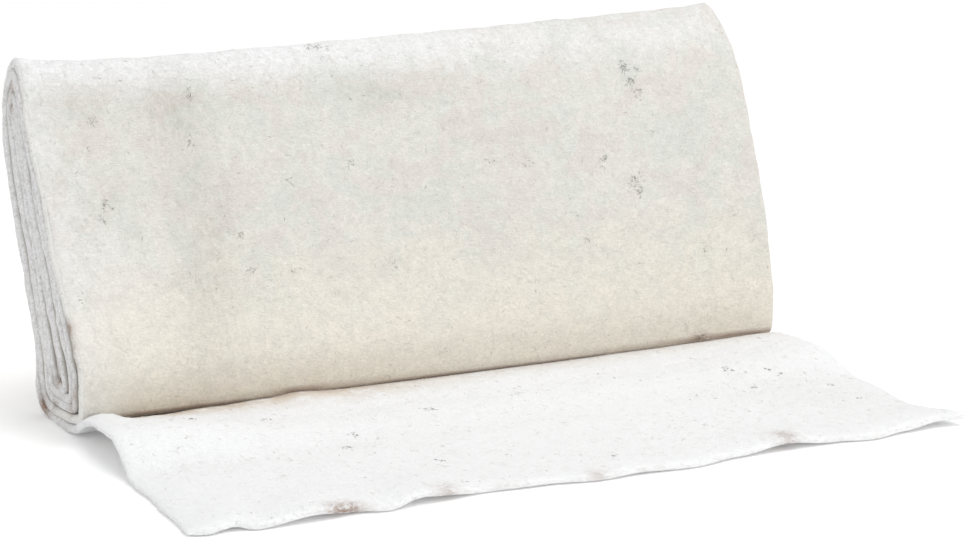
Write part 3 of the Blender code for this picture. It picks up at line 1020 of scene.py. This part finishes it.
def felt_face_material(group):
    """The felt's face: white wool, yellowed and soiled on the roll's front, patchy and flecked, with painted
    shade between the turns, at the foot and under the lifted front edge.
    """
    material, tree, shader = new_material("felt_face")
    grain, cloth = wool_grain(tree, group)
    yellowed = attribute(tree, "yellowed")
    greyed = attribute(tree, "greyed")
    stained = attribute(tree, "stained")
    worn = reckon(tree, "ADD", reckon(tree, "MULTIPLY", attribute(tree, "wound_up"), 0.8), 0.2)

    colour = mixed(tree, greyed, WHITE_WOOL, GREYED_WOOL)
    colour = mixed(tree, yellowed, colour, YELLOWED_WOOL)
    patchy = reckon(tree, "MULTIPLY", greyed, reckon(tree, "SUBTRACT", 1.15, yellowed))
    colour = shown(tree, colour, GREENISH_PATCH, grain.outputs["Greenish"], patchy, 0.68)
    colour = shown(tree, colour, PINKISH_PATCH, grain.outputs["Pinkish"], patchy, 0.62)
    colour = shown(tree, colour, GREY_FLECK, grain.outputs["Mottle"], worn, 0.13)
    colour = shown(tree, colour, GREY_FLECK, grain.outputs["Tone"], worn, 0.27)
    colour = shown(tree, colour, GREY_FLECK, grain.outputs["Flecks"], worn, 0.36)
    speckled = reckon(tree, "ADD", reckon(tree, "MULTIPLY", stained, 0.9), 0.35)
    speckled = reckon(tree, "MULTIPLY", speckled, worn)
    colour = shown(tree, colour, GREY_FLECK, grain.outputs["Specks"], speckled, 0.58)
    streaks = noise(tree, stretched(tree, cloth, 0, (190.0, 90.0, 1.0)), 1.0, 5.0, 0.75, 0.6)
    colour = shown(tree, colour, SOILED_WOOL, stained, ranged(tree, streaks, 0.3, 0.72, 0.25, 1.45), 0.4)
    blots = ranged(tree, noise(tree, cloth, 230.0, 3.0, 0.6, 0.6), 0.34, 0.6, 0.35, 1.2)
    patches = ranged(tree, noise(tree, cloth, 60.0, 4.0, 0.7, 0.8), 0.34, 0.54, 0.25, 1.0)
    colour = shown(tree, colour, FOOT_TINT, attribute(tree, "foot_tint"), patches, 0.85)
    # painted shade: a thin dark brown line in the crevice where the roll meets the loose end
    colour = shown(tree, colour, BROWN_DIRT_AND_SHADE, attribute(tree, "foot_crevice_shade"), 1.0, 0.85)
    # brown spots, and painted shade under the loose end's lifted front edge
    colour = shown(tree, colour, BROWN_DIRT_AND_SHADE, attribute(tree, "browned_and_shaded"), blots, 0.8)
    # painted shade in the gaps between the wound turns
    colour = shown(tree, colour, WINDING_GAP_SHADE, attribute(tree, "turned_in"), 1.0, 0.75)
    tree.links.new(colour, shader.inputs["Base Color"])
    rough = ranged(tree, grain.outputs["Fibres"], 0.0, 1.0, 0.98, 0.86)
    tree.links.new(rough, shader.inputs["Roughness"])
    shader.inputs["Sheen Weight"].default_value = 0.12
    shader.inputs["Sheen Roughness"].default_value = 0.5
    bump_into(tree, shader, grain.outputs["Height"], 0.0014, 0.6)
    return material


def cut_edge_material():
    """The felt's cut edge: matted wool, greyer and rougher where the turns are wound up."""
    material, tree, shader = new_material("cut_edge")
    place = tree.nodes.new("ShaderNodeTexCoord").outputs["Object"]
    matted = noise(tree, place, 420.0, 4.0, 0.65, 0.6)
    clumps = noise(tree, place, 140.0, 3.0, 0.6, 0.4)
    shade = reckon(tree, "ADD", ranged(tree, matted, 0.44, 0.66, 0.0, 0.52),
                   ranged(tree, clumps, 0.45, 0.7, 0.0, 0.28))
    wound_up = attribute(tree, "wound_up")
    on_front = attribute(tree, "front_turn")
    shade = reckon(tree, "MULTIPLY", shade, ranged(tree, wound_up, 0.0, 1.0, 0.15, 1.0))
    shade = reckon(tree, "MULTIPLY", shade, ranged(tree, on_front, 0.0, 1.0, 1.0, 0.35))
    colour = mixed(tree, wound_up, WHITE_WOOL, CUT_WOOL)
    colour = mixed(tree, on_front, colour, CREAM_EDGE)
    colour = mixed(tree, shade, colour, CUT_SHADOW)
    specks = ranged(tree, noise(tree, place, 620.0, 2.0, 0.6), 0.6, 0.72)
    colour = shown(tree, colour, GREY_FLECK, specks, wound_up, 0.7)
    # brown spots, and painted shade under the loose end's lifted front edge
    colour = shown(tree, colour, BROWN_DIRT_AND_SHADE, attribute(tree, "browned_and_shaded"),
                   ranged(tree, matted, 0.3, 0.7, 0.6, 1.2), 1.0)
    tree.links.new(colour, shader.inputs["Base Color"])
    height = reckon(tree, "ADD", matted, reckon(tree, "MULTIPLY", clumps, 1.2))
    bump_into(tree, shader, height, 0.0016, 0.7)
    return material


def strand_material(name, pale, deep, patch_size):
    """Wool or hair in strands, from a pale to a deep colour that changes from place to place."""
    material, tree, shader = new_material(name)
    place = tree.nodes.new("ShaderNodeTexCoord").outputs["Object"]
    patch = noise(tree, place, 1 / patch_size, 2.0, 0.6)
    tree.links.new(mixed(tree, ranged(tree, patch, 0.35, 0.65), pale, deep), shader.inputs["Base Color"])
    rough = ranged(tree, noise(tree, place, 900.0, 1.0), 0.3, 0.7, 0.75, 0.95)
    tree.links.new(rough, shader.inputs["Roughness"])
    return material


def floor_material():
    """The studio floor: smooth white card with a faint grain, which glows a little."""
    material, tree, shader = new_material("studio_floor")
    place = tree.nodes.new("ShaderNodeTexCoord").outputs["Object"]
    grain = noise(tree, place, 40.0, 2.0)
    colour = mixed(tree, ranged(tree, grain, 0.3, 0.7), (0.925, 0.925, 0.925), (0.935, 0.935, 0.935))
    tree.links.new(colour, shader.inputs["Base Color"])
    shader.inputs["Emission Color"].default_value = (1, 1, 1, 1)
    shader.inputs["Emission Strength"].default_value = FLOOR_GLOW
    return material


def lay_floor():
    """Return the pale floor under the felt."""
    bpy.ops.object.select_all(action="DESELECT")
    bpy.ops.mesh.primitive_plane_add(size=14)
    floor = bpy.context.active_object
    floor.name = "studio_floor"
    floor.data.materials.append(floor_material())
    return floor


def soft_light(name, place, aim, size, power):
    """Hang one square soft light at a place, turned to its aim."""
    light = bpy.data.lights.new(name, "AREA")
    light.shape = "SQUARE"
    light.size = size
    light.energy = power
    lamp = bpy.data.objects.new(name, light)
    bpy.context.collection.objects.link(lamp)
    way = Vector(aim) - Vector(place)
    lamp.matrix_world = Matrix.Translation(place) @ way.to_track_quat("-Z", "Y").to_matrix().to_4x4()
    return lamp


def light_studio():
    """Light the felt softly from all round, with soft lights from above and from the front right."""
    world = bpy.data.worlds.new("white_studio")
    world.use_nodes = True
    backdrop = world.node_tree.nodes["Background"]
    backdrop.inputs["Color"].default_value = (1.0, 1.0, 1.0, 1)
    backdrop.inputs["Strength"].default_value = AMBIENT
    bpy.context.scene.world = world
    for name, place, size, power in SOFT_LIGHTS:
        soft_light(name, place, LIGHT_AIM, size, power)
    bpy.context.scene.view_settings.view_transform = "Standard"


# Light from all round, the floor's own glow that lightens the shadows, and the soft lights:
# name, place, width and watts
AMBIENT = 0.82
FLOOR_GLOW = 0.1
LIGHT_AIM = (0.0, -0.05, 0.08)
SOFT_LIGHTS = (
    ("light_above", (0.5, -0.3, 3.2), 2.0, 36.0),
    ("light_in_front", (1.6, -3.0, 0.9), 1.8, 24.0),
)


def set_camera(origin):
    """Place the camera where the photograph was taken from."""
    turn = math.radians(CAMERA_TURN)
    rise = math.radians(CAMERA_RISE)
    back = Vector((-math.sin(turn) * math.cos(rise), -math.cos(turn) * math.cos(rise), math.sin(rise)))
    right = Vector((math.cos(turn), -math.sin(turn), 0))
    up = back.cross(right)
    aim = Vector((0, 0, CAMERA_AIM_HEIGHT)) + right * CAMERA_ASIDE - up * CAMERA_LOWER
    camera = bpy.data.cameras.new("camera")
    camera.lens = CAMERA_LENS
    camera.sensor_width = 36.0
    seat = bpy.data.objects.new("camera", camera)
    seat.location = origin + aim + back * CAMERA_DISTANCE
    seat.rotation_euler = (math.pi / 2 - rise, 0, -turn)
    bpy.context.collection.objects.link(seat)
    bpy.context.scene.camera = seat


form_origin = Vector((cad_box[0][0] - FORM_LEFT, cad_box[1][1] - FORM_BACK, 0))
set_camera(form_origin)
light_studio()
lay_floor()

felt, felt_places, felt_turned_in, felt_length = build_felt(np.array(form_origin))
shade_felt(felt, felt_places, felt_turned_in, form_origin)
grain_group = wool_grain_group()
felt.data.materials.append(felt_face_material(grain_group))
felt.data.materials.append(cut_edge_material())

felt_tree = surface_of(felt)
dark_hairs = lay_dark_hairs(felt_tree, form_origin)
dark_hairs.data.materials.append(strand_material("dark_hair", *DARK_HAIR))
grey_hairs = lay_scattered_hairs(felt_tree, form_origin)
grey_hairs.data.materials.append(strand_material("grey_hair", *GREY_HAIR))
loose_wool = lay_loose_wool(felt_tree, form_origin)
loose_wool.data.materials.append(strand_material("loose_wool", *LOOSE_WOOL))

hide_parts("felt")
for piece in (felt, dark_hairs, grey_hairs, loose_wool):
    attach(piece, "root")
